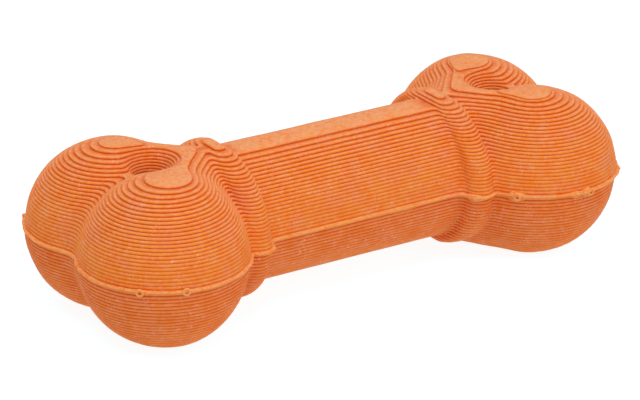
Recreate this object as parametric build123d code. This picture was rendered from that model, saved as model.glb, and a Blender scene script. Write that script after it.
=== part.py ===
from build123d import *
import math
import os

# A dog's chew bone of solid rubber, moulded in one piece between two terraced mould halves.
# Millimetres. X runs along the bone, Y across it and Z up. The origin is under the bone's middle, on the surface
# that its four lobes rest on. Heights rise from the parting plane and depths go down from it.

# The four lobes, two at each end
lobe_reach = 69.0          # middle of the bone to the middle of a lobe, along X
lobe_spread = 16.6         # middle line of the bone to the middle of a lobe, along Y
lobe_radius = 26.2         # at the parting plane
lobe_flat = 7.3            # radius of the flat crown
lobe_height = 25.5
lobe_depth = 26.0
valley_radius = 12.7       # of the hollow between the two lobes of an end, at the parting plane
valley_tip_radius = 0.6    # of the same hollow at the lobes' crown

# The arms, which run in from the lobes to their roots and are as high as the lobes
root_reach = 54.0          # middle of the bone to the middle of a root, along X
root_spread = 6.2          # middle line of the bone to the middle of a root, along Y
root_radius = 14.0         # at the parting plane
root_flat = 4.4            # radius at the crown

# The neck, which joins the arms' roots to the collar
neck_half_width = 19.0
neck_flat = 4.0            # half of its width at the crown
neck_height = 24.3
neck_depth = 23.5

# The collar, a bead round each end of the shaft
collar_reach = 40.6        # middle of the bone to the middle of the collar
collar_half_width = 28.2
collar_half_length = 4.4   # along the bone
collar_height = 26.2
collar_depth = 24.8

# The shaft
shaft_half_width = 22.0
shaft_flat = 5.3           # half of the width of the flat strip along its crown
shaft_height = 22.2
shaft_depth = 20.3

# The hole down through each end, straight at its waist and flaring at its mouths
hole_reach = 64.0          # middle of the bone to the hole's axis
waist_radius = 4.8
mouth_radius = 9.8         # at the lobes' crown
flare_height = 8.5         # from the waist's end to the lobes' crown

# The terraces, coarser than the real ones: each stands for five or six of them
terrace_height = 6.0       # about: a half has as many even steps up to the shaft's crown as come nearest to it

# The flash, which the rubber left between the mould halves
flash_reach = 1.0
flash_thickness = 1.4

seam_height = lobe_depth


class Rises:
    """How far each form of one mould half stands out from the parting plane."""

    def __init__(self, lobe, neck, collar, shaft):
        self.lobe = lobe
        self.neck = neck
        self.collar = collar
        self.shaft = shaft

    def edges(self):
        """The terraces' edges: even steps to the shaft's crown, then the crowns of the lobes and the collars."""
        count = max(1, round(self.shaft / terrace_height))
        steps = [self.shaft * step / count for step in range(count + 1)]
        return steps + sorted([self.lobe, self.collar])


def swell(height, width, flat, rise):
    """Half of a rounded form's width at a height: full at the parting plane, flat at the crown, 0 above it."""
    if height >= rise:
        return 0
    return math.sqrt(width ** 2 - (width ** 2 - flat ** 2) * (height / rise) ** 2)


def arms(height, rises, end, grow):
    """One end's two arms at a height, each from its root out to a lobe, with the valley between the lobes."""
    pair = Sketch()
    if height >= rises.lobe:
        return pair
    lobe = swell(height, lobe_radius, lobe_flat, rises.lobe) + grow
    root = swell(height, root_radius, root_flat, rises.lobe) + grow
    for side in (-1, 1):
        outer = Pos(end * lobe_reach, side * lobe_spread) * Circle(lobe)
        inner = Pos(end * root_reach, side * root_spread) * Circle(root)
        pair += make_hull(outer.edges() + inner.edges())
    valley = valley_radius - (valley_radius - valley_tip_radius) * height / rises.lobe - grow
    if lobe + valley > lobe_spread:
        tip = end * (lobe_reach + math.sqrt((lobe + valley) ** 2 - lobe_spread ** 2))
        kite = [(end * root_reach, 0), (end * lobe_reach, lobe_spread), (tip, 0), (end * lobe_reach, -lobe_spread)]
        pair += make_face(Polyline(*kite, close=True)) - Pos(tip, 0) * Circle(valley)
    return pair


def collar(half_width, half_length, end):
    """A collar's outline: a slot across the bone."""
    place = Pos(end * collar_reach, 0)
    if half_length == half_width:
        return place * Circle(half_width)
    return place * SlotOverall(2 * half_width, 2 * half_length, rotation=90)


def section(height, rises, grow=0):
    """The whole bone's outline at a height, without its holes, and grown outwards when asked."""
    outline = Sketch()
    half_width = swell(height, collar_half_width, 0, rises.collar)
    shaft = swell(height, shaft_half_width, shaft_flat, rises.shaft)
    neck = swell(height, neck_half_width, neck_flat, rises.neck)
    if half_width > 0:
        over = max(0, height - (rises.collar - collar_half_length))
        half_length = min(math.sqrt(collar_half_length ** 2 - over ** 2), half_width)
    for end in (-1, 1):
        outline += arms(height, rises, end, grow)
        if half_width > 0:
            outline += collar(half_width + grow, half_length + grow, end)
    if neck > 0:
        length = root_reach - collar_reach
        for end in (-1, 1):
            outline += Pos(end * (collar_reach + length / 2), 0) * Rectangle(length, 2 * (neck + grow))
    if shaft > 0:
        outline += Rectangle(2 * collar_reach, 2 * (shaft + grow))
    return outline


def hole(rises, end):
    """Half of the hole through one end: the straight waist and the flaring mouth above it."""
    start = rises.lobe - flare_height
    base = (Align.CENTER, Align.CENTER, Align.MIN)
    waist = Cylinder(waist_radius, start, align=base)
    mouth = Pos(0, 0, start) * Cone(waist_radius, mouth_radius, flare_height, align=base)
    return Pos(end * hole_reach, 0, seam_height) * (waist + mouth)


def terraced_half(rises):
    """A half, drawn upwards: a stack of terraces with its two holes.

    The lowest terrace has the outline of the parting plane, and each other one that of its own middle height.
    """
    half = Part()
    edges = rises.edges()
    for low, high in zip(edges, edges[1:]):
        outline = section((low + high) / 2 if low > 0 else 0, rises)
        half += Pos(0, 0, seam_height + low) * extrude(outline, high - low)
    for end in (-1, 1):
        half -= hole(rises, end)
    return half


def flash(rises):
    """The rim round the parting plane, which hugs the lowest terraces."""
    rim = section(0, rises, flash_reach) - section(0, rises)
    return Pos(0, 0, seam_height - flash_thickness / 2) * extrude(rim, flash_thickness)


os.makedirs("parts", exist_ok=True)
above = Rises(lobe_height, neck_height, collar_height, shaft_height)
below = Rises(lobe_depth, neck_depth, collar_depth, shaft_depth)
upper_half = terraced_half(above)
lower_half = mirror(terraced_half(below), Plane.XY.offset(seam_height))
export_step(upper_half, "parts/upper_half.step")
export_step(lower_half, "parts/lower_half.step")
export_step(flash(above), "parts/seam_flash.step")
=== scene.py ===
"""Looks of a rubber chew bone: two terraced halves, the flash on their seam, a floor and soft light."""

import logging
import math
from dataclasses import dataclass, field
from enum import Enum

import bpy
import numpy as np
from mathutils import Matrix, Vector
from mathutils.geometry import delaunay_2d_cdt


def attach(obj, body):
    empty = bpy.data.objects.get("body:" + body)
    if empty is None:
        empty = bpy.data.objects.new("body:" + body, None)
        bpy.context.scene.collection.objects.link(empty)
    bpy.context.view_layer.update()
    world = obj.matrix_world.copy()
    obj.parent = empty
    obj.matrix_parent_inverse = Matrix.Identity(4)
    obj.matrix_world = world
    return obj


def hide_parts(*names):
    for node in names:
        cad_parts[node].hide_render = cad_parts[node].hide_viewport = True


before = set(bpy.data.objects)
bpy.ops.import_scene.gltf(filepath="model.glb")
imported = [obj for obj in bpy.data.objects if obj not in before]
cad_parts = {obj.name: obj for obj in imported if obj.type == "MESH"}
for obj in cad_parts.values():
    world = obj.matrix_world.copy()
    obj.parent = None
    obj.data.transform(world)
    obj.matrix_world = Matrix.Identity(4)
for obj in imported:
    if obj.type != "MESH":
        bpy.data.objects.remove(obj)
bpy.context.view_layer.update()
LOG = logging.getLogger("chew_bone")
BODY = "root"
MM = 0.001  # metres in a millimetre
FAR = 1e3  # a distance that no form is near to
TINY = 1e-9  # the least length to divide by
WELD = 1e-5  # corners of a sheet that lie within this are one
BATCH = 500  # spots that are tested at a time
WHITE = (1.0, 1.0, 1.0, 1.0)
Points = np.ndarray
Ring = np.ndarray
Shade = tuple[int, int, int]
Socket = bpy.types.NodeSocket


class Side(Enum):
    """The two mould halves, and the way in which each one's terraces climb from the seam."""

    UPPER = 1
    LOWER = -1


def srgb(shade: Shade) -> tuple[float, float, float, float]:
    """Turns a display colour into the linear one that a shader takes, by the curve of the sRGB standard.

    Args:
        shade: Red, green and blue, 0 to 255.

    Returns:
        Linear red, green and blue, and an alpha of 1.
    """
    shares = [channel / 255 for channel in shade]
    linear = [c / 12.92 if c <= 0.04045 else ((c + 0.055) / 1.055) ** 2.4 for c in shares]
    return (linear[0], linear[1], linear[2], 1.0)


def swell(height: float, width: float, flat: float, rise: float) -> float:
    """Half of a rounded form's width at a height over the seam.

    Args:
        height: Height over the seam.
        width: Half of the width at the seam.
        flat: Half of the width at the crown.
        rise: Height of the crown.

    Returns:
        The half width, or 0 above the crown.
    """
    if height > rise:
        return 0.0
    return math.sqrt(width ** 2 - (width ** 2 - flat ** 2) * (height / rise) ** 2)


def soft_least(first: Points, second: Points, reach: float) -> Points:
    """The lesser of two distances, with the inside corner between the two forms rounded.

    Args:
        first: Distances to one form.
        second: Distances to the other.
        reach: How far from the corner the rounding starts.

    Returns:
        Distances to the two forms together.
    """
    near = np.maximum(reach - np.abs(first - second), 0.0) / reach
    return np.minimum(first, second) - near * near * reach / 4


@dataclass(frozen=True)
class Ripple:
    """One layer of unevenness. Millimetres."""

    amount: float  # its largest size
    pitch: float  # size of its blobs along the plane
    layer: float = 1.0  # size of the blobs along the height, as a share of the pitch
    start: float = 0.0  # height in the noise at which it is taken


@dataclass
class Grain:
    """Smooth noise in space, the same on each run."""

    seed: int
    cells: int = 48
    offset: float = 1000.0  # keeps the lattice's numbers above 0
    values: Points = field(init=False)

    def __post_init__(self) -> None:
        """Draws the noise's lattice."""
        self.values = np.random.default_rng(self.seed).uniform(-1, 1, (self.cells, self.cells, self.cells))

    def at(self, points: Points, ripple: Ripple, height: float = 0.0, gain: float = 1.0) -> Points:
        """Gives a layer of unevenness at flat points of one height.

        Args:
            points: Places in the plane, one per row.
            ripple: The layer.
            height: The points' height.
            gain: How much stronger the layer is at that height.

        Returns:
            A length for each point, positive or negative.
        """
        level = (height + ripple.start) / ripple.layer
        spots = np.column_stack([points, np.full(len(points), level)]) / ripple.pitch + self.offset
        low = np.floor(spots).astype(int)
        part = spots - low
        part = part * part * (3 - 2 * part)
        total = np.zeros(len(points))
        for corner in range(8):
            bits = np.array([corner & 1, corner >> 1 & 1, corner >> 2 & 1])
            index = (low + bits) % self.cells
            weight = np.prod(np.where(bits, part, 1 - part), axis=1)
            total += weight * self.values[index[:, 0], index[:, 1], index[:, 2]]
        return ripple.amount * gain * total


@dataclass(frozen=True)
class Circle:
    """A circle in plan. Millimetres."""

    x: float
    y: float
    radius: float


class Moulded:
    """A form that stands out from the seam on both halves."""

    height: float
    depth: float

    def rise(self, side: Side) -> float:
        """Height of one half's crown over the seam."""
        return self.height if side is Side.UPPER else self.depth


@dataclass
class Lobes(Moulded):
    """The four lobes, the arms that join them to the neck, and the valley between each two. Millimetres."""

    reach: float = 69.0  # bone's middle to a lobe's middle, along the bone
    spread: float = 16.7  # middle line to a lobe's middle, across the bone
    radius: float = 26.4  # at the seam
    flat: float = 5.8  # radius of an upper crown
    foot: float = 8.0  # radius of a lower crown
    height: float = 25.9  # of the upper crowns over the seam
    depth: float = 26.0  # of the lower crowns under it
    valley: float = 12.7  # radius of the valley at the seam
    valley_tip: float = 0.6  # radius of the valley at the crowns
    root_reach: float = 51.6  # bone's middle to the root of an end's two arms
    root_radius: float = 20.0  # at the seam
    root_flat: float = 1.5  # radius of the root at the crowns
    arm_taper: float = 0.2  # share by which an upper arm widens on its way out
    web: float = 4.0  # rounding between an upper arm and its lobe
    drift: float = 1.3  # of the back right lobe, further out
    crown_shift: float = -2.2  # of the crowns along the bone
    crown_power: int = 12  # how late on the way up it sets in
    cap_radius: float = 6.4  # of the thin caps on the right
    cap_inset: float = 0.9  # of the thin cap on the left
    tail_reach: float = 59.4  # bone's middle to the end of a cap's tail
    tail_spread: float = 11.6  # middle line to the end of a cap's tail
    tail_radius: float = 1.4

    def arm(self, x: Points, y: Points, lobe: Circle, root: Circle) -> Points:
        """Signed distance to the band that wraps a lobe's circle and a root's circle.

        Args:
            x: Places along the bone, without their sign.
            y: Places across it, without their sign.
            lobe: The lobe.
            root: The root.

        Returns:
            Distances, negative inside.
        """
        run = np.array([lobe.x - root.x, lobe.y - root.y])
        length = float(np.hypot(*run))
        run = run / length
        along = (x - root.x) * run[0] + (y - root.y) * run[1]
        across = np.abs((y - root.y) * run[0] - (x - root.x) * run[1])
        slope = (root.radius - lobe.radius) / length
        upright = math.sqrt(1 - slope ** 2)
        place = along * upright - across * slope
        arm = across * upright + along * slope - root.radius
        arm = np.where(place < 0, np.hypot(along, across) - root.radius, arm)
        return np.where(place > upright * length, np.hypot(along - length, across) - lobe.radius, arm)

    def caps(self, points: Points, x: Points, y: Points) -> Points:
        """Signed distance to the thin caps on three upper crowns: both right ones and the back left one.

        Args:
            points: Places in the plane, one per row.
            x: Their places along the bone, without their sign.
            y: Their places across it, without their sign.

        Returns:
            Distances, negative inside.
        """
        crown = Circle(self.reach + self.crown_shift, self.spread, self.cap_radius)
        right = self.arm(x, y, crown, Circle(self.tail_reach, self.tail_spread, self.tail_radius))
        left = self.distance(points, self.height, Side.UPPER) + self.cap_inset
        return np.where(points[:, 0] > 0, right, np.where(points[:, 1] > 0, left, FAR))

    def saddle(self, x: Points, y: Points, lobe: Circle, valley: float) -> Points:
        """Signed distance to the rubber between an end's two lobes, out to the valley.

        Args:
            x: Places along the bone, without their sign.
            y: Places across it, without their sign.
            lobe: The lobe.
            valley: The valley's radius.

        Returns:
            Distances, negative inside.
        """
        tip = math.sqrt((lobe.radius + valley) ** 2 - lobe.y ** 2)
        front = ((x - lobe.x) * lobe.y + (y - lobe.y) * tip) / math.hypot(tip, lobe.y)
        run = lobe.x - self.root_reach
        back = ((y - lobe.y) * run - (x - lobe.x) * lobe.y) / math.hypot(run, lobe.y)
        hollow = valley - np.hypot(x - lobe.x - tip, y)
        return np.maximum(np.maximum(front, back), hollow)

    def distance(self, points: Points, height: float, side: Side) -> Points:
        """Signed distance to the lobes, arms and valleys at a height.

        Args:
            points: Places in the plane, one per row.
            height: Height over the seam.
            side: The half that is asked for.

        Returns:
            Distances, negative inside.
        """
        rise = self.rise(side)
        upper = side is Side.UPPER
        out = self.drift * np.clip(points[:, 1] / self.spread, 0, 1) * (points[:, 0] > 0)
        x, y = np.abs(points[:, 0]), np.abs(points[:, 1] - out)
        if height > rise:
            return self.caps(points, x, y) if upper else np.full(len(points), FAR)
        middle = self.reach + self.crown_shift * (height / rise) ** self.crown_power
        flat = self.flat if upper else self.foot
        lobe = Circle(middle, self.spread, swell(height, self.radius, flat, rise))
        root = Circle(self.root_reach, 0.0, swell(height, self.root_radius, self.root_flat, rise))
        if upper:
            slim = Circle(middle, self.spread, root.radius + self.arm_taper * (lobe.radius - root.radius))
            ball = np.hypot(x - lobe.x, y - lobe.y) - lobe.radius
            solid = soft_least(self.arm(x, y, slim, root), ball, self.web)
        else:
            solid = self.arm(x, y, lobe, root)
        valley = self.valley - (self.valley - self.valley_tip) * height / rise
        if lobe.radius + valley > self.spread:
            solid = np.minimum(solid, self.saddle(x, y, lobe, valley))
        return solid


@dataclass
class Collars(Moulded):
    """The bead round each end of the shaft. Millimetres."""

    reach: float = 41.2  # bone's middle to a bead's middle
    half_width: float = 28.9  # across the bone, at the seam
    half_length: float = 4.4  # along the bone
    height: float = 25.9  # of the upper crest over the seam
    depth: float = 23.4  # of the lower crest under it

    def distance(self, x: Points, y: Points, height: float, side: Side) -> Points:
        """Signed distance to one quarter's bead.

        Args:
            x: Places along the bone, without their sign.
            y: Places across it, without their sign.
            height: Height over the seam.
            side: The half that is asked for.

        Returns:
            Distances, negative inside.
        """
        rise = self.rise(side)
        wide = swell(height, self.half_width, 0.0, rise)
        if wide == 0.0:
            return np.full(x.shape, FAR)
        over = max(0.0, height - (rise - self.half_length))
        long = min(math.sqrt(self.half_length ** 2 - over ** 2), wide)
        return np.hypot(x - self.reach, np.maximum(y - (wide - long), 0)) - long


@dataclass
class Bar(Moulded):
    """A straight length with rounded sides: the shaft between the collars, or a neck. Millimetres."""

    start: float  # along the bone
    end: float
    half_width: float  # at the seam
    flat: float  # half of the width at the crown
    height: float  # of the upper crown over the seam
    depth: float  # of the lower crown under it

    def distance(self, x: Points, y: Points, height: float, side: Side) -> Points:
        """Signed distance to one quarter's bar.

        Args:
            x: Places along the bone, without their sign.
            y: Places across it, without their sign.
            height: Height over the seam.
            side: The half that is asked for.

        Returns:
            Distances, negative inside.
        """
        half = swell(height, self.half_width, self.flat, self.rise(side))
        if half == 0.0:
            return np.full(x.shape, FAR)
        return np.maximum(np.maximum(x - self.end, self.start - x), y - half)


@dataclass
class Holes:
    """The hole down through each end. Millimetres."""

    reach: float = 64.0  # bone's middle to a hole's axis
    waist: float = 4.8  # radius
    flare_radius: float = 9.5  # of the arc along which a mouth opens
    flare_height: float = 8.5  # from the waist's end to the mouth
    fade: float = 2.5  # width over which a hole's shade fades out

    def radius(self, height: float, rise: float) -> float:
        """Radius of a hole at a height over the seam, from the height of its mouth."""
        over = min(max(0.0, height - (rise - self.flare_height)), self.flare_radius)
        return self.waist + self.flare_radius - math.sqrt(self.flare_radius ** 2 - over ** 2)

    def nearness(self, points: Points, height: float, rise: float) -> Points:
        """How near points of one height lie to a hole's wall: 1 on it, and 0 from a fade's width away."""
        away = np.hypot(np.abs(points[:, 0]) - self.reach, points[:, 1]) - self.radius(height, rise)
        return np.clip(1 - away / self.fade, 0, 1)


@dataclass
class BoneForm:
    """The whole bone's outline at any height. Millimetres from the bone's middle on the seam."""

    lobes: Lobes = field(default_factory=Lobes)
    collars: Collars = field(default_factory=Collars)
    shaft: Bar = field(default_factory=lambda: Bar(
        start=-1.0, end=Collars.reach, half_width=21.7, flat=3.0, height=23.6, depth=20.1))
    neck: Bar = field(default_factory=lambda: Bar(
        start=Collars.reach, end=54.0, half_width=19.0, flat=4.0, height=24.3, depth=23.5))
    holes: Holes = field(default_factory=Holes)
    notch: float = 1.7  # rounding between a collar and the arms
    notch_gain: float = 2.5  # how much wider it is at the crowns
    notch_power: int = 6  # how late on the way up it widens
    corner: float = 1.3  # rounding between a collar and the shaft
    corner_gain: float = 3.4  # how much wider it is at the seam
    corner_height: float = 9.0  # height at which that gain has gone
    rim: float = 2.4  # rounding of the holes' rims
    slip: float = -0.4  # of the lower half along the bone
    bow: float = -1.3  # of the shaft and the collars across the bone
    wave: Ripple = Ripple(0.10, 9.0, layer=0.6)
    wave_gain: float = 4.0  # how much stronger the wave is at the crowns, as a share
    wave_power: int = 10  # how late on the way up it grows
    nick: Ripple = Ripple(0.05, 1.7, layer=1.5, start=300.0)
    cap_wave: Ripple = Ripple(0.6, 3.2, start=600.0)
    probe: float = 0.12  # step over which a slope is measured
    grain: Grain = field(default_factory=lambda: Grain(11))

    @property
    def seam(self) -> float:
        """Height of the seam over the floor."""
        return self.lobes.depth

    def distance(self, points: Points, height: float, side: Side) -> Points:
        """Signed distance from points of the plane to the bone's outline at a height.

        Args:
            points: Places in the plane, one per row.
            height: Height over the seam, up on the upper half and down on the lower one.
            side: The half that is asked for.

        Returns:
            Distances, negative inside the rubber.
        """
        if side is Side.LOWER:
            points = points - np.array([self.slip, 0.0])
        x, y = np.abs(points[:, 0]), np.abs(points[:, 1])
        rise = self.lobes.rise(side)
        share = min(1.0, height / rise)
        ends = np.minimum(self.lobes.distance(points, height, side), self.neck.distance(x, y, height, side))
        lean = self.bow * max(0.0, 1 - (height / self.collars.height) ** 2)
        beads = self.collars.distance(x, np.abs(points[:, 1] - lean), height, side)
        solid = soft_least(ends, beads, self.notch + self.notch_gain * share ** self.notch_power)
        shaft = self.shaft.distance(x, np.abs(points[:, 1] - self.bow), height, side)
        corner = self.corner + self.corner_gain * max(0.0, 1 - height / self.corner_height) ** 2
        solid = soft_least(solid, shaft, corner)
        bores = np.hypot(x - self.holes.reach, y) - self.holes.radius(height, rise)
        solid = -soft_least(-solid, bores, self.rim)
        tall = height * side.value
        gain = 1 + self.wave_gain * share ** self.wave_power
        solid = solid + self.grain.at(points, self.wave, tall, gain)
        solid = solid + self.grain.at(points, self.nick, tall)
        if side is Side.UPPER and height > rise:
            solid = solid + self.grain.at(points, self.cap_wave, tall)
        return solid

    def outward(self, points: Points, height: float, side: Side) -> Points:
        """Unit directions out of the rubber at points near the outline.

        Args:
            points: Places in the plane, one per row.
            height: Height over the seam.
            side: The half that is asked for.

        Returns:
            One direction for each point.
        """
        slope = np.zeros_like(points)
        for axis in range(2):
            move = np.zeros(2)
            move[axis] = self.probe
            ahead = self.distance(points + move, height, side)
            slope[:, axis] = ahead - self.distance(points - move, height, side)
        return slope / np.maximum(np.linalg.norm(slope, axis=1, keepdims=True), TINY)


@dataclass
class Outliner:
    """Traces the closed loops of the bone's outline at one height. Millimetres."""

    form: BoneForm
    pitch: float = 0.9  # of the grid on which loops are found
    spacing: float = 1.0  # of a loop's points
    margin: float = 4.0  # of the grid round the bone
    shortest: float = 3.0  # loop that is kept
    fewest: int = 8  # points of a loop
    moves: int = 2  # that bring points onto the outline
    stride: float = 0.4  # of such a move at most

    def grid(self) -> tuple[Points, Points]:
        """Lists the places at which the outline is sampled.

        Returns:
            The places along the bone and those across it.
        """
        far = self.form.lobes.reach + self.form.lobes.radius + self.margin
        wide = self.form.lobes.spread + self.form.lobes.radius + self.margin
        return np.arange(-far, far, self.pitch), np.arange(-wide, wide, self.pitch)

    def chains(self, values: Points, xs: Points, ys: Points) -> list[Points]:
        """Joins the zero crossings of a grid into closed loops with the rubber on their left.

        Args:
            values: Signed distances, rows along x and columns along y.
            xs: The rows' places.
            ys: The columns' places.

        Returns:
            The loops' points.
        """
        inside = values < 0
        follow: dict[tuple[int, int, int], tuple[int, int, int]] = {}
        crossing = inside[:-1, :-1].astype(int) + inside[1:, :-1] + inside[:-1, 1:] + inside[1:, 1:]
        for i, j in zip(*np.nonzero((crossing > 0) & (crossing < 4))):
            corners = [inside[i, j], inside[i + 1, j], inside[i + 1, j + 1], inside[i, j + 1]]
            edges = [(i, j, 0), (i + 1, j, 1), (i, j + 1, 0), (i, j, 1)]
            enters = [n for n in range(4) if not corners[n] and corners[(n + 1) % 4]]
            leaves = [n for n in range(4) if corners[n] and not corners[(n + 1) % 4]]
            filled = values[i:i + 2, j:j + 2].mean() < 0
            for start in leaves:
                order = [(start - 1 - k) % 4 if not filled else (start + 1 + k) % 4 for k in range(4)]
                follow[edges[start]] = edges[next(n for n in order if n in enters)]
        loops = []
        while follow:
            first = next(iter(follow))
            loop = [first]
            here = follow.pop(first)
            while here != first:
                loop.append(here)
                here = follow.pop(here)
            loops.append(self.places(loop, values, xs, ys))
        return loops

    def places(self, loop: list[tuple[int, int, int]], values: Points, xs: Points, ys: Points) -> Points:
        """Gives the points where a loop's grid edges cross zero.

        Args:
            loop: Grid edges, each a row, a column and its direction.
            values: Signed distances on the grid.
            xs: The rows' places.
            ys: The columns' places.

        Returns:
            One point for each edge.
        """
        keys = np.array(loop)
        i, j, way = keys[:, 0], keys[:, 1], keys[:, 2]
        first = values[i, j]
        second = values[i + (way == 0), j + (way == 1)]
        share = first / (first - second) * self.pitch
        return np.column_stack([xs[i] + share * (way == 0), ys[j] + share * (way == 1)])

    def settle(self, points: Points, height: float, side: Side) -> Points:
        """Moves points onto the outline.

        Args:
            points: Points near the outline.
            height: Height over the seam.
            side: The half that is asked for.

        Returns:
            The moved points.
        """
        for _ in range(self.moves):
            gap = np.clip(self.form.distance(points, height, side), -self.stride, self.stride)
            points = points - self.form.outward(points, height, side) * gap[:, None]
        return points

    def even(self, points: Points) -> Points:
        """Spreads a loop's points evenly along it.

        Args:
            points: The loop's points.

        Returns:
            Points at the outliner's spacing.
        """
        ring = np.vstack([points, points[:1]])
        walk = np.concatenate([[0], np.cumsum(np.linalg.norm(np.diff(ring, axis=0), axis=1))])
        count = max(self.fewest, round(walk[-1] / self.spacing))
        stops = np.arange(count) * walk[-1] / count
        return np.column_stack([np.interp(stops, walk, ring[:, 0]), np.interp(stops, walk, ring[:, 1])])

    def loops(self, height: float, side: Side) -> list[Points]:
        """Traces the outline at a height.

        Args:
            height: Height over the seam.
            side: The half that is asked for.

        Returns:
            Closed loops of even points, outer ones anticlockwise and holes clockwise.
        """
        xs, ys = self.grid()
        spots = np.stack(np.meshgrid(xs, ys, indexing="ij"), axis=-1).reshape(-1, 2)
        values = self.form.distance(spots, height, side).reshape(len(xs), len(ys))
        found = []
        for loop in self.chains(values, xs, ys):
            loop = self.settle(loop, height, side)
            if np.linalg.norm(loop - np.roll(loop, 1, axis=0), axis=1).sum() < self.shortest:
                continue
            found.append(self.settle(self.even(loop), height, side))
        return found


@dataclass
class Skin:
    """A mesh under construction, with the painted shade that each corner takes in a groove or a hole, and
    how near an edge it lies, for dust and a painted highlight.
    """

    corners: list[tuple[float, float, float]] = field(default_factory=list)
    faces: list[tuple[int, ...]] = field(default_factory=list)
    groove: list[float] = field(default_factory=list)
    ledge: list[float] = field(default_factory=list)

    def add(self, points: Points, height: float, groove: float | Points, ledge: float) -> Ring:
        """Adds a ring of corners at one height.

        Args:
            points: Their places in the plane.
            height: Their height over the floor.
            groove: Painted shade that they take in a groove or a hole, 0 to 1.
            ledge: How near a terrace's upper edge they lie, 0 to 1, which sets their dust and painted
                highlight.

        Returns:
            The corners' numbers.
        """
        start = len(self.corners)
        self.corners += [(float(x), float(y), height) for x, y in points]
        self.groove += np.broadcast_to(groove, len(points)).tolist()
        self.ledge += [ledge] * len(points)
        return np.arange(start, start + len(points))

    def lift(self, ring: Ring, heights: Points) -> None:
        """Gives each corner of a ring a height of its own.

        Args:
            ring: The corners' numbers.
            heights: Their heights over the floor.
        """
        for number, height in zip(ring, heights):
            x, y, _ = self.corners[number]
            self.corners[number] = (x, y, float(height))

    def strip(self, low: Ring, high: Ring) -> None:
        """Joins two rings of as many corners with a band of faces.

        Args:
            low: Corner numbers of the ring on the right of its own direction.
            high: Corner numbers of the other ring.
        """
        after = np.roll(np.arange(len(low)), -1)
        self.faces += list(zip(low.tolist(), low[after].tolist(), high[after].tolist(), high.tolist()))

    def sheet(self, rings: list[Ring], upward: bool) -> None:
        """Fills the flat room between rings that lie at one height.

        Args:
            rings: Corner numbers of the closed rings round the room, its own holes and islands among them.
            upward: Whether the sheet faces up.
        """
        if not rings:
            return
        numbers = np.concatenate(rings)
        flat = np.array([self.corners[n][:2] for n in numbers])
        edges, start = [], 0
        for ring in rings:
            local = np.arange(start, start + len(ring))
            edges += list(zip(local.tolist(), np.roll(local, -1).tolist()))
            start += len(ring)
        result = delaunay_2d_cdt([Vector(p) for p in flat], edges, [], 0, WELD)
        places, triangles, origins = result[0], result[2], result[3]
        height = self.corners[numbers[0]][2]
        match = []
        for place, origin in zip(places, origins):
            if origin:
                match.append(int(numbers[origin[0]]))
            else:
                match.append(int(self.add(np.array([place[:]]), height, 0.0, 0.0)[0]))
        corners = np.array([p[:] for p in places])
        faces = np.array(triangles)
        keep = self.within(corners[faces].mean(axis=1), flat, edges)
        for face in faces[keep]:
            a, b, c = corners[face]
            turned = (b[0] - a[0]) * (c[1] - a[1]) - (b[1] - a[1]) * (c[0] - a[0]) > 0
            order = face if turned == upward else face[::-1]
            self.faces.append(tuple(match[n] for n in order))

    @staticmethod
    def within(spots: Points, flat: Points, edges: list[tuple[int, int]]) -> np.ndarray:
        """Tells which spots lie inside an odd number of rings.

        Args:
            spots: The places that are asked for.
            flat: The rings' corners.
            edges: Pairs of corners that the rings join.

        Returns:
            True where a spot is inside.
        """
        pairs = np.array(edges)
        a, b = flat[pairs[:, 0]], flat[pairs[:, 1]]
        climb = np.where(b[:, 1] == a[:, 1], 1.0, b[:, 1] - a[:, 1])
        odd = np.zeros(len(spots), bool)
        for first in range(0, len(spots), BATCH):
            part = spots[first:first + BATCH, None, :]
            spans = (a[:, 1] > part[..., 1]) != (b[:, 1] > part[..., 1])
            reach = a[:, 0] + (part[..., 1] - a[:, 1]) * (b[:, 0] - a[:, 0]) / climb
            odd[first:first + BATCH] = (spans & (part[..., 0] < reach)).sum(axis=1) % 2 == 1
        return odd

    def piece(self, name: str, finish: bpy.types.Material, crease: float) -> bpy.types.Object:
        """Makes the Blender object.

        Args:
            name: The object's name.
            finish: Its material.
            crease: Angle in degrees above which an edge looks sharp.

        Returns:
            The linked object.
        """
        mesh = bpy.data.meshes.new(name)
        mesh.from_pydata((np.array(self.corners) * MM).tolist(), [], self.faces)
        # Painted shade in grooves and holes, and nearness to an edge for dust and a painted highlight
        for label, values in (("groove", self.groove), ("ledge", self.ledge)):
            mesh.attributes.new(label, "FLOAT", "POINT").data.foreach_set("value", values)
        mesh.materials.append(finish)
        mesh.polygons.foreach_set("use_smooth", [True] * len(mesh.polygons))
        mesh.set_sharp_from_angle(angle=math.radians(crease))
        mesh.validate()
        mesh.update()
        piece = bpy.data.objects.new(name, mesh)
        bpy.context.scene.collection.objects.link(piece)
        return piece


@dataclass(frozen=True)
class Steps:
    """Heights of a half's terraces over the seam: a first one, then steps that may shrink. Millimetres."""

    first: float  # height of the first terrace
    step: float
    shrink: float  # grows with the square of the steps below
    count: int
    cap: float  # height of the thin caps on the crowns, or 0

    def heights(self) -> list[float]:
        """Lists the terraces' edges, from the seam up."""
        steps = [0.0] + [self.first + self.step * k - self.shrink * k * k for k in range(self.count)]
        return steps + [steps[-1] + self.cap] if self.cap else steps


STEPS = {
    Side.UPPER: Steps(first=0.80, step=1.165, shrink=0.0078, count=27, cap=0.5),
    Side.LOWER: Steps(first=1.01, step=1.19, shrink=0.0, count=22, cap=0.0),
}


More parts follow.
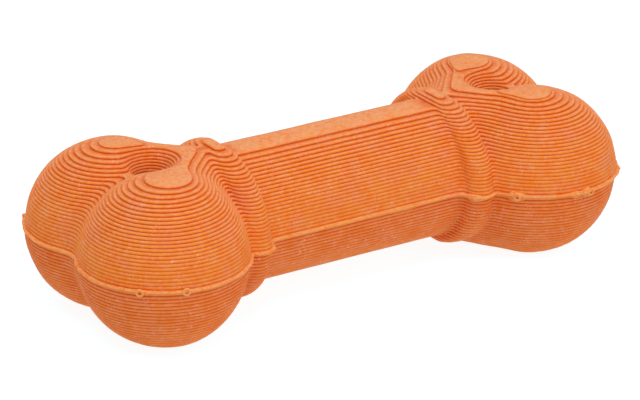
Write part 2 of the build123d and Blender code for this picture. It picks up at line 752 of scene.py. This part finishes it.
@dataclass
class TerracedHalf:
    """One half of the bone: a stack of terraces, each a rounded bead over a sharp groove. Millimetres."""

    side: Side
    form: BoneForm
    groove_depth: float = 0.26  # of the groove under each bead
    groove_shade_gain: float = 1.0  # how dark the painted shade in the grooves is
    hole_shade_gain: float = 0.22  # how dark the painted shade in the holes is
    trace_share: float = 0.65  # of a terrace's height, at which its outline is taken
    shelf_width: float = 0.04  # between a bead's upper edge and the next groove
    least_round: float = 0.12  # of a bead's upper edge
    widest_round: float = 0.42
    edge_power: int = 4  # how near its upper edge a bead turns pale with dust and a painted highlight
    crease: float = 48.0  # degrees above which an edge looks sharp
    # Share of the terrace's height, way in from the outline, share of the grooves' painted shade
    bead: tuple[tuple[float, float, float], ...] = ((0.22, 0.05, 0.25), (0.52, 0.0, 0.0), (0.82, 0.10, 0.0))

    def level(self, height: float) -> float:
        """Turns a height over the seam into one over the floor."""
        return self.form.seam + self.side.value * height

    def middle(self, low: float, high: float) -> float:
        """Height at which a terrace's outline is taken, from the heights of its edges."""
        return (1 - self.trace_share) * low + self.trace_share * high

    def terrace(self, skin: Skin, loop: Points, low: float, high: float) -> list[Ring]:
        """Adds one loop's bead and the groove under it.

        Args:
            skin: The half's mesh.
            loop: The loop's points.
            low: Height of the terrace's lower edge over the seam.
            high: Height of its upper edge.

        Returns:
            The bead's rings, from its groove to its upper edge.
        """
        middle = self.middle(low, high)
        after = high + self.trace_share * (high - low)
        out = self.form.outward(loop, middle, self.side)
        back = self.form.distance(loop, after, self.side)
        inset = np.clip(back + self.groove_depth - self.shelf_width, self.least_round, self.widest_round)
        near = self.form.holes.nearness(loop, middle, self.form.lobes.rise(self.side))
        # Painted shade inside the holes, fading out away from their walls
        hole_shade = self.hole_shade_gain * near
        # The groove's ring takes the grooves' full painted shade
        rings = [skin.add(loop - out * self.groove_depth, self.level(low), self.groove_shade_gain, 0.0)]
        for share, inward, dark in self.bead:
            ring = loop - out * np.minimum(inward, inset)[:, None]
            shade = np.maximum(dark * self.groove_shade_gain, hole_shade)
            level = self.level(low + share * (high - low))
            rings.append(skin.add(ring, level, shade, share ** self.edge_power))
        # The upper edge takes full dust and painted highlight
        rings.append(skin.add(loop - out * inset[:, None], self.level(high), hole_shade, 1.0))
        for one, two in zip(rings, rings[1:]):
            skin.strip(*((one, two) if self.side is Side.UPPER else (two, one)))
        return rings

    def build(self, name: str, finish: bpy.types.Material) -> bpy.types.Object:
        """Builds the half.

        Args:
            name: The object's name.
            finish: Its material.

        Returns:
            The linked object.
        """
        skin, outliner = Skin(), Outliner(self.form)
        upward = self.side is Side.UPPER
        heights = STEPS[self.side].heights()
        shelf: list[Ring] = []
        for low, high in zip(heights, heights[1:]):
            loops = outliner.loops(self.middle(low, high), self.side)
            beads = [self.terrace(skin, loop, low, high) for loop in loops]
            bases = [rings[0] for rings in beads]
            if shelf:
                skin.sheet(shelf + bases, upward)
            else:
                skin.sheet(bases, not upward)
            shelf = [rings[-1] for rings in beads]
        skin.sheet(shelf, upward)
        return skin.piece(name, finish, self.crease)


@dataclass
class Flash:
    """The torn rim of rubber on the seam, with a sharp lip, nubs and a few small curls. Millimetres."""

    form: BoneForm
    reach: float = 0.9
    least_reach: float = 0.3
    most_reach: float = 2.4
    thickness: float = 1.2
    tuck: float = 0.6  # of the rim's root into the rubber
    spacing: float = 0.45  # of the rim's corners along the seam
    lip_share: float = 0.9  # of the reach, past which the rim is pale with dust and a painted highlight
    crease: float = 40.0  # degrees above which an edge looks sharp
    # The rim's section: share of the reach, share of the thickness
    profile: tuple[tuple[float, float], ...] = (
        (0.0, -0.5), (0.45, -0.5), (0.66, -0.34), (0.74, 0.0), (0.94, 0.14),
        (1.0, 0.32), (0.88, 0.48), (0.55, 0.56), (0.0, 0.5),
    )
    reach_ripples: tuple[Ripple, ...] = (
        Ripple(0.27, 14.0), Ripple(0.3, 1.9, start=50.0), Ripple(0.3, 0.8, start=90.0),
    )
    lift_ripples: tuple[Ripple, ...] = (
        Ripple(0.26, 14.0), Ripple(0.14, 1.9, start=50.0), Ripple(0.24, 0.8, start=90.0),
        Ripple(0.16, 4.0, start=150.0),
    )
    thickness_ripples: tuple[Ripple, ...] = (Ripple(0.12, 0.8, start=90.0), Ripple(0.3, 5.0, start=230.0))
    # Each nub's place along the bone and across it, and its size
    nubs: tuple[tuple[float, float, float], ...] = (
        (-87.2, -34.4, 0.35), (-76.7, -42.8, 0.35), (38.5, -27.5, 0.7), (48.6, -33.4, 1.2),
        (50.4, -34.6, 0.9), (66.0, -43.0, 0.6), (70.5, -43.6, 1.1), (-89.5, 33.5, 0.8),
        (89.0, -34.0, 0.3), (60.0, 42.0, 0.9), (-63.0, 42.4, 1.0), (20.0, 22.4, 0.7),
    )
    nub_width: float = 1.2
    nub_reach: float = 0.7  # added by a nub of size 1, as are the next two
    nub_thickness: float = 1.5
    nub_lift: float = 0.25
    nub_turn: float = 3.0  # of its twist, in radians for each millimetre
    # Each curl's place along the bone and across it
    curls: tuple[tuple[float, float], ...] = ((-87.2, -34.4), (-76.7, -42.8), (50.0, -34.4), (70.8, -43.5))
    curl_radius: float = 0.95
    curl_thickness: float = 0.42
    curl_lift: float = 0.4
    # dust and painted highlight on the curls
    curl_pale: float = 0.5
    curl_steps: int = 16  # round the curl
    curl_sides: int = 8  # of its section
    grain: Grain = field(default_factory=lambda: Grain(23))

    def uneven(self, loop: Points, ripples: tuple[Ripple, ...]) -> Points:
        """Adds up layers of unevenness at a loop's points."""
        return sum(self.grain.at(loop, ripple) for ripple in ripples)

    def edge(self, loop: Points) -> tuple[Points, Points, Points]:
        """Works out the torn edge along the seam.

        Args:
            loop: The seam's points.

        Returns:
            The rim's reach, lift and thickness at each point.
        """
        reach = self.reach + self.uneven(loop, self.reach_ripples)
        lift = self.uneven(loop, self.lift_ripples)
        thick = self.thickness + self.uneven(loop, self.thickness_ripples)
        for x, y, size in self.nubs:
            far = np.hypot(loop[:, 0] - x, loop[:, 1] - y)
            bump = size * np.exp(-((far - far.min()) / self.nub_width) ** 2)
            reach = reach + self.nub_reach * bump
            lift = lift + self.nub_lift * bump * np.cos(self.nub_turn * (loop[:, 0] - x))
            thick = thick + self.nub_thickness * bump
        return np.clip(reach, self.least_reach, self.most_reach), lift, thick

    def build(self, name: str, finish: bpy.types.Material) -> bpy.types.Object:
        """Builds the rim along the seam's outer loop.

        Args:
            name: The object's name.
            finish: Its material.

        Returns:
            The linked object.
        """
        outliner = Outliner(self.form, spacing=self.spacing)
        loop = max(outliner.loops(0.0, Side.UPPER), key=len)
        out = self.form.outward(loop, 0.0, Side.UPPER)
        reach, lift, thick = self.edge(loop)
        skin = Skin()
        rings = []
        for share, high in self.profile:
            away = np.where(share > 0, share * reach, -self.tuck)
            # Past the lip's share the rim takes dust and a painted highlight
            pale = 1.0 if share > self.lip_share else 0.0
            rings.append(skin.add(loop + out * away[:, None], self.form.seam, 0.0, pale))
            skin.lift(rings[-1], self.form.seam + high * thick + lift * share)
        for one, two in zip(rings, rings[1:] + rings[:1]):
            skin.strip(one, two)
        for x, y in self.curls:
            near = int(np.argmin(np.hypot(loop[:, 0] - x, loop[:, 1] - y)))
            self.curl(skin, loop[near] + out[near] * reach[near], out[near])
        return skin.piece(name, finish, self.crease)

    def curl(self, skin: Skin, place: Points, out: Points) -> None:
        """Adds a small curled ring of rubber that stands on the rim's edge.

        Args:
            skin: The rim's mesh.
            place: The ring's middle in the plane.
            out: The way out of the rubber there.
        """
        along = np.array([-out[1], out[0]])
        turn = np.linspace(0, 2 * np.pi, self.curl_sides, endpoint=False)
        far = self.curl_radius + self.curl_thickness * np.cos(turn)
        rings = []
        for angle in np.linspace(0, 2 * np.pi, self.curl_steps, endpoint=False):
            flat = np.outer(far * np.cos(angle), along) + np.outer(self.curl_thickness * np.sin(turn), out)
            rings.append(skin.add(place + flat, self.form.seam, 0.0, self.curl_pale))
            skin.lift(rings[-1], self.form.seam + self.curl_lift + far * np.sin(angle))
        for one, two in zip(rings, rings[1:] + rings[:1]):
            skin.strip(two, one)


@dataclass(frozen=True)
class Patch:
    """Patches of noise in a finish."""

    scale: float  # how fine the noise is
    detail: float  # how many finer layers it has
    low: float  # noise at which a patch begins
    high: float  # noise at which it is full
    amount: float = 1.0  # strength of a full patch


class NodeTree:
    """A material's or a world's nodes, with short ways to add and join them."""

    # Numbers of a mix node's sockets for colours
    first_colour, second_colour, mixed_colour = 6, 7, 2

    def __init__(self, owner: bpy.types.Material | bpy.types.World) -> None:
        """Turns the owner's nodes on.

        Args:
            owner: The material or the world.
        """
        owner.use_nodes = True
        self.nodes = owner.node_tree.nodes
        self.links = owner.node_tree.links

    def add(self, kind: str, **sockets: object) -> bpy.types.Node:
        """Adds a node.

        Args:
            kind: The node's type.
            **sockets: Values or outputs for the inputs of those names.

        Returns:
            The new node.
        """
        node = self.nodes.new(kind)
        for name, value in sockets.items():
            self.put(node.inputs[name], value)
        return node

    def attribute(self, name: str) -> Socket:
        """Reads one of the mesh's attributes.

        Args:
            name: The attribute's name.

        Returns:
            Its value.
        """
        node = self.add("ShaderNodeAttribute")
        node.attribute_name = name
        return node.outputs["Fac"]

    def put(self, socket: Socket, value: object) -> None:
        """Links an output to a socket, or sets its value.

        Args:
            socket: The input.
            value: An output or a constant.
        """
        if isinstance(value, Socket):
            self.links.new(value, socket)
        else:
            socket.default_value = value

    def noise(self, place: Socket, scale: float, detail: float) -> Socket:
        """Adds a noise, with how fine it is and how many finer layers it has."""
        return self.add("ShaderNodeTexNoise", Vector=place, Scale=scale, Detail=detail).outputs["Fac"]

    def ramp(self, value: Socket, low: float, high: float) -> Socket:
        """Stretches a value so that low becomes 0 and high becomes 1.

        Args:
            value: The value.
            low: What becomes 0.
            high: What becomes 1.

        Returns:
            The stretched value.
        """
        node = self.add("ShaderNodeMapRange", Value=value)
        node.interpolation_type = "SMOOTHSTEP"
        node.inputs["From Min"].default_value = low
        node.inputs["From Max"].default_value = high
        return node.outputs["Result"]

    def maths(self, operation: str, first: object, second: object) -> Socket:
        """Works out a sum of two values.

        Args:
            operation: The kind of sum.
            first: A value or an output.
            second: Another one.

        Returns:
            The result.
        """
        node = self.nodes.new("ShaderNodeMath")
        node.operation = operation
        self.put(node.inputs[0], first)
        self.put(node.inputs[1], second)
        return node.outputs[0]

    def times(self, first: object, second: object) -> Socket:
        """Multiplies two values."""
        return self.maths("MULTIPLY", first, second)

    def blend(self, share: object, first: object, second: object) -> Socket:
        """Mixes two colours.

        Args:
            share: How much of the second there is, 0 to 1.
            first: A colour.
            second: Another one.

        Returns:
            The mixed colour.
        """
        node = self.nodes.new("ShaderNodeMix")
        node.data_type = "RGBA"
        self.put(node.inputs["Factor"], share)
        self.put(node.inputs[self.first_colour], first)
        self.put(node.inputs[self.second_colour], second)
        return node.outputs[self.mixed_colour]

    def patch(self, place: Socket, patch: Patch) -> Socket:
        """Adds patches of noise: 0 between them, and their amount where they are full."""
        full = self.ramp(self.noise(place, patch.scale, patch.detail), patch.low, patch.high)
        return self.times(full, patch.amount)

    def dots(self, place: Socket, scale: float, size: float) -> Socket:
        """Adds scattered dots, with how close they lie and their radius as a share of a cell."""
        away = self.add("ShaderNodeTexVoronoi", Vector=place, Scale=scale).outputs["Distance"]
        return self.maths("LESS_THAN", away, size)

    def seen(self) -> Socket:
        """Tells what the camera sees, straight or in a gloss or through a clear surface.

        Returns:
            1 where it is seen so and 0 where it only lights other things.
        """
        path = self.add("ShaderNodeLightPath")
        total = self.maths("ADD", path.outputs["Is Camera Ray"], path.outputs["Is Glossy Ray"])
        return self.maths("MINIMUM", self.maths("ADD", total, path.outputs["Is Transmission Ray"]), 1.0)

    def glow(self, always: float, when_seen: float) -> Socket:
        """Adds a strength of light, with a further share where the camera sees it."""
        return self.maths("ADD", self.times(self.seen(), when_seen), always)


@dataclass(frozen=True)
class RubberFinish:
    """Matte orange rubber, dusty on flats, dusty with a painted highlight on edges, with painted shade in
    grooves, and crumbs and specks.
    """

    body: Shade = (241, 134, 42)
    warm: Shade = (241, 121, 18)
    rosy: Shade = (237, 130, 72)
    # painted shade in the grooves and holes
    groove_shade_colour: Shade = (222, 84, 2)
    # dust, and a painted highlight on the terraces' edges
    bloom_and_highlight: Shade = (239, 164, 113)
    crumb: Shade = (250, 204, 180)
    speck: Shade = (120, 62, 34)
    warm_patch: Patch = Patch(170.0, 3.0, 0.38, 0.62)
    rosy_patch: Patch = Patch(110.0, 4.0, 0.48, 0.66, 0.6)
    dust_patch: Patch = Patch(800.0, 4.0, 0.2, 0.64)
    crumb_grain: Patch = Patch(1900.0, 3.0, 0.58, 0.68)
    crumb_patch: Patch = Patch(200.0, 4.0, 0.44, 0.68, 0.6)
    haze_patch: Patch = Patch(600.0, 5.0, 0.5, 0.72, 0.13)
    speck_patch: Patch = Patch(30.0, 2.0, 0.54, 0.66, 0.8)
    speck_scale: float = 150.0  # how close the specks lie
    speck_size: float = 0.04  # their radius as a share of a cell
    dust_slope: float = 0.75  # upright part of a surface's direction where dust begins to lie
    dust_level: float = 0.98  # the same where it lies in full
    bloom_amount: float = 0.86
    # dust and painted highlight on the terraces' edges
    edge_amount: float = 0.6
    # strength of the painted shade in the grooves and holes
    groove_shade_amount: float = 0.84
    roughness: float = 0.62
    gloss: float = 0.1
    pore_scale: float = 2600.0
    pore_detail: float = 3.0
    pore_strength: float = 0.6
    pore_depth: float = 0.00005  # metres

    def dust_and_highlight(self, tree: NodeTree, place: Socket) -> Socket:
        """Works out how much dust lies on the flats, and how much dust and painted highlight on the
        terraces' edges.

        Args:
            tree: The material's nodes.
            place: Where the noises are taken.

        Returns:
            A share, 0 to 1.
        """
        normal = tree.add("ShaderNodeNewGeometry").outputs["Normal"]
        upright = tree.add("ShaderNodeSeparateXYZ", Vector=normal).outputs["Z"]
        flat = tree.times(tree.ramp(upright, self.dust_slope, self.dust_level), self.bloom_amount)
        # Dust and painted highlight along the terraces' upper edges
        edge = tree.times(tree.attribute("ledge"), self.edge_amount)
        return tree.times(tree.maths("MAXIMUM", flat, edge), tree.patch(place, self.dust_patch))

    def colour(self, tree: NodeTree, place: Socket) -> Socket:
        """Mixes the rubber's colour.

        Args:
            tree: The material's nodes.
            place: Where the noises are taken.

        Returns:
            The colour.
        """
        # Painted shade in the grooves and holes
        groove = tree.times(tree.attribute("groove"), self.groove_shade_amount)
        crumbs = tree.times(tree.patch(place, self.crumb_grain), tree.patch(place, self.crumb_patch))
        dots = tree.dots(place, self.speck_scale, self.speck_size)
        colour = srgb(self.body)
        for share, shade in (
            (tree.patch(place, self.warm_patch), self.warm),
            (tree.patch(place, self.rosy_patch), self.rosy),
            (self.dust_and_highlight(tree, place), self.bloom_and_highlight),
            (groove, self.groove_shade_colour),
            (crumbs, self.crumb),
            (tree.patch(place, self.haze_patch), self.crumb),
            (tree.times(dots, tree.patch(place, self.speck_patch)), self.speck),
        ):
            colour = tree.blend(share, colour, srgb(shade))
        return colour

    def material(self, name: str) -> bpy.types.Material:
        """Builds the node material.

        Args:
            name: The material's name.

        Returns:
            The new material.
        """
        material = bpy.data.materials.new(name)
        tree = NodeTree(material)
        place = tree.add("ShaderNodeTexCoord").outputs["Object"]
        pores = tree.add("ShaderNodeBump", Height=tree.noise(place, self.pore_scale, self.pore_detail))
        tree.put(pores.inputs["Strength"], self.pore_strength)
        tree.put(pores.inputs["Distance"], self.pore_depth)
        shader = tree.nodes["Principled BSDF"]
        tree.put(shader.inputs["Base Color"], self.colour(tree, place))
        tree.put(shader.inputs["Roughness"], self.roughness)
        tree.put(shader.inputs["Specular IOR Level"], self.gloss)
        tree.put(shader.inputs["Normal"], pores.outputs["Normal"])
        return material


ORANGE = RubberFinish()
# A pinker copy of the orange rubber for the lower half, painted with the light from the floor below
UNDERSIDE_PAINTED_LIGHT = RubberFinish(body=(240, 130, 60), warm=(236, 118, 42))
# The flash's paler rubber, with more dust and painted highlight on its lip
TORN = RubberFinish(body=(240, 140, 62), warm=(238, 126, 46), bloom_and_highlight=(248, 176, 104), edge_amount=0.8)


@dataclass(frozen=True)
class Lamp:
    """A soft square lamp that faces the floor under the bone's middle. Metres and watts."""

    name: str
    place: tuple[float, float, float]
    size: float
    power: float


@dataclass
class Studio:
    """The white floor, the light and the camera. Lengths in millimetres, the image in pixels."""

    seam: float  # height of the seam over the floor
    azimuth: float = -32.643  # degrees, as are the next two
    elevation: float = 22.364
    roll: float = 0.01
    distance: float = 1120.0  # camera to the bone's middle
    focal: float = 3538.3  # pixels
    shift_x: float = 6.27  # pixels, to the right
    shift_y: float = -6.35  # pixels, down
    image: tuple[int, int] = (640, 400)
    sensor: float = 36.0
    clip_end: float = 50.0  # metres
    floor_half: float = 4.0  # metres
    floor_colour: tuple[float, float, float, float] = (0.16, 0.3, 0.38, 1.0)
    floor_glow: tuple[float, float] = (0.67, 0.21)  # always, and further where it is seen
    room_glow: tuple[float, float] = (0.6, 0.4)
    lamps: tuple[Lamp, ...] = (
        Lamp("top_lamp", (-0.25, -0.25, 1.3), 0.9, 6.5),
        Lamp("front_lamp", (0.3, -1.3, 0.8), 1.0, 4.0),
    )

    def camera(self) -> None:
        """Sets the camera at the photograph's view."""
        a, e = math.radians(self.azimuth), math.radians(self.elevation)
        back = Vector((math.sin(a) * math.cos(e), -math.cos(a) * math.cos(e), math.sin(e)))
        right = Vector((math.cos(a), math.sin(a), 0))
        up = back.cross(right)
        turn = Matrix((right, up, back)).transposed() @ Matrix.Rotation(math.radians(self.roll), 3, "Z")
        data = bpy.data.cameras.new("view")
        data.sensor_width = self.sensor
        data.lens = self.focal * self.sensor / self.image[0]
        data.clip_end = self.clip_end
        data.shift_x = -self.shift_x / self.image[0]
        data.shift_y = self.shift_y / self.image[0]
        camera = bpy.data.objects.new("view", data)
        place = (back * self.distance + Vector((0, 0, self.seam))) * MM
        camera.matrix_world = Matrix.Translation(place) @ turn.to_4x4()
        bpy.context.scene.collection.objects.link(camera)
        bpy.context.scene.camera = camera

    def floor(self) -> None:
        """Lays a white floor that keeps the bone's shadow."""
        half = self.floor_half
        corners = [(-half, -half, 0), (half, -half, 0), (half, half, 0), (-half, half, 0)]
        mesh = bpy.data.meshes.new("floor")
        mesh.from_pydata(corners, [], [range(len(corners))])
        material = bpy.data.materials.new("white_floor")
        tree = NodeTree(material)
        shader = tree.nodes["Principled BSDF"]
        for name, value in (
            ("Base Color", self.floor_colour),
            ("Roughness", 1.0),
            ("Specular IOR Level", 0.0),
            ("Emission Color", WHITE),
            ("Emission Strength", tree.glow(*self.floor_glow)),
        ):
            tree.put(shader.inputs[name], value)
        mesh.materials.append(material)
        floor = bpy.data.objects.new("floor", mesh)
        bpy.context.scene.collection.objects.link(floor)

    def light(self) -> None:
        """Lights the room evenly and hangs the lamps."""
        scene = bpy.context.scene
        scene.world = bpy.data.worlds.new("room")
        tree = NodeTree(scene.world)
        back = tree.nodes["Background"]
        tree.put(back.inputs["Color"], WHITE)
        tree.put(back.inputs["Strength"], tree.glow(*self.room_glow))
        for lamp in self.lamps:
            data = bpy.data.lights.new(lamp.name, "AREA")
            data.size = lamp.size
            data.energy = lamp.power
            hung = bpy.data.objects.new(lamp.name, data)
            hung.location = lamp.place
            hung.rotation_euler = (-Vector(lamp.place)).to_track_quat("-Z", "Y").to_euler()
            scene.collection.objects.link(hung)


def tie(piece: bpy.types.Object, node: str) -> None:
    """Ties a piece to the frame and reports it.

    Args:
        piece: The piece.
        node: The CAD node that it stands for.
    """
    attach(piece, BODY)
    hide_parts(node)
    LOG.info("%s: %d faces", piece.name, len(piece.data.polygons))


def main() -> None:
    """Builds the bone, its floor, its light and its camera."""
    logging.basicConfig(level=logging.INFO, format="%(message)s")
    bpy.context.scene.view_settings.view_transform = "Standard"
    form = BoneForm()
    upper = TerracedHalf(Side.UPPER, form)
    tie(upper.build("upper_skin", ORANGE.material("orange_rubber")), "upper_half")
    # The lower half: stronger painted shade in its grooves, and its rubber painted with the floor's light
    # from below
    lower = TerracedHalf(Side.LOWER, form, groove_depth=0.38, groove_shade_gain=1.5)
    tie(lower.build("lower_skin", UNDERSIDE_PAINTED_LIGHT.material("underside_rubber_painted_light")), "lower_half")
    tie(Flash(form).build("seam_rim", TORN.material("torn_rubber")), "seam_flash")
    studio = Studio(form.seam)
    studio.floor()
    studio.light()
    studio.camera()


if __name__ == "__main__":
    main()
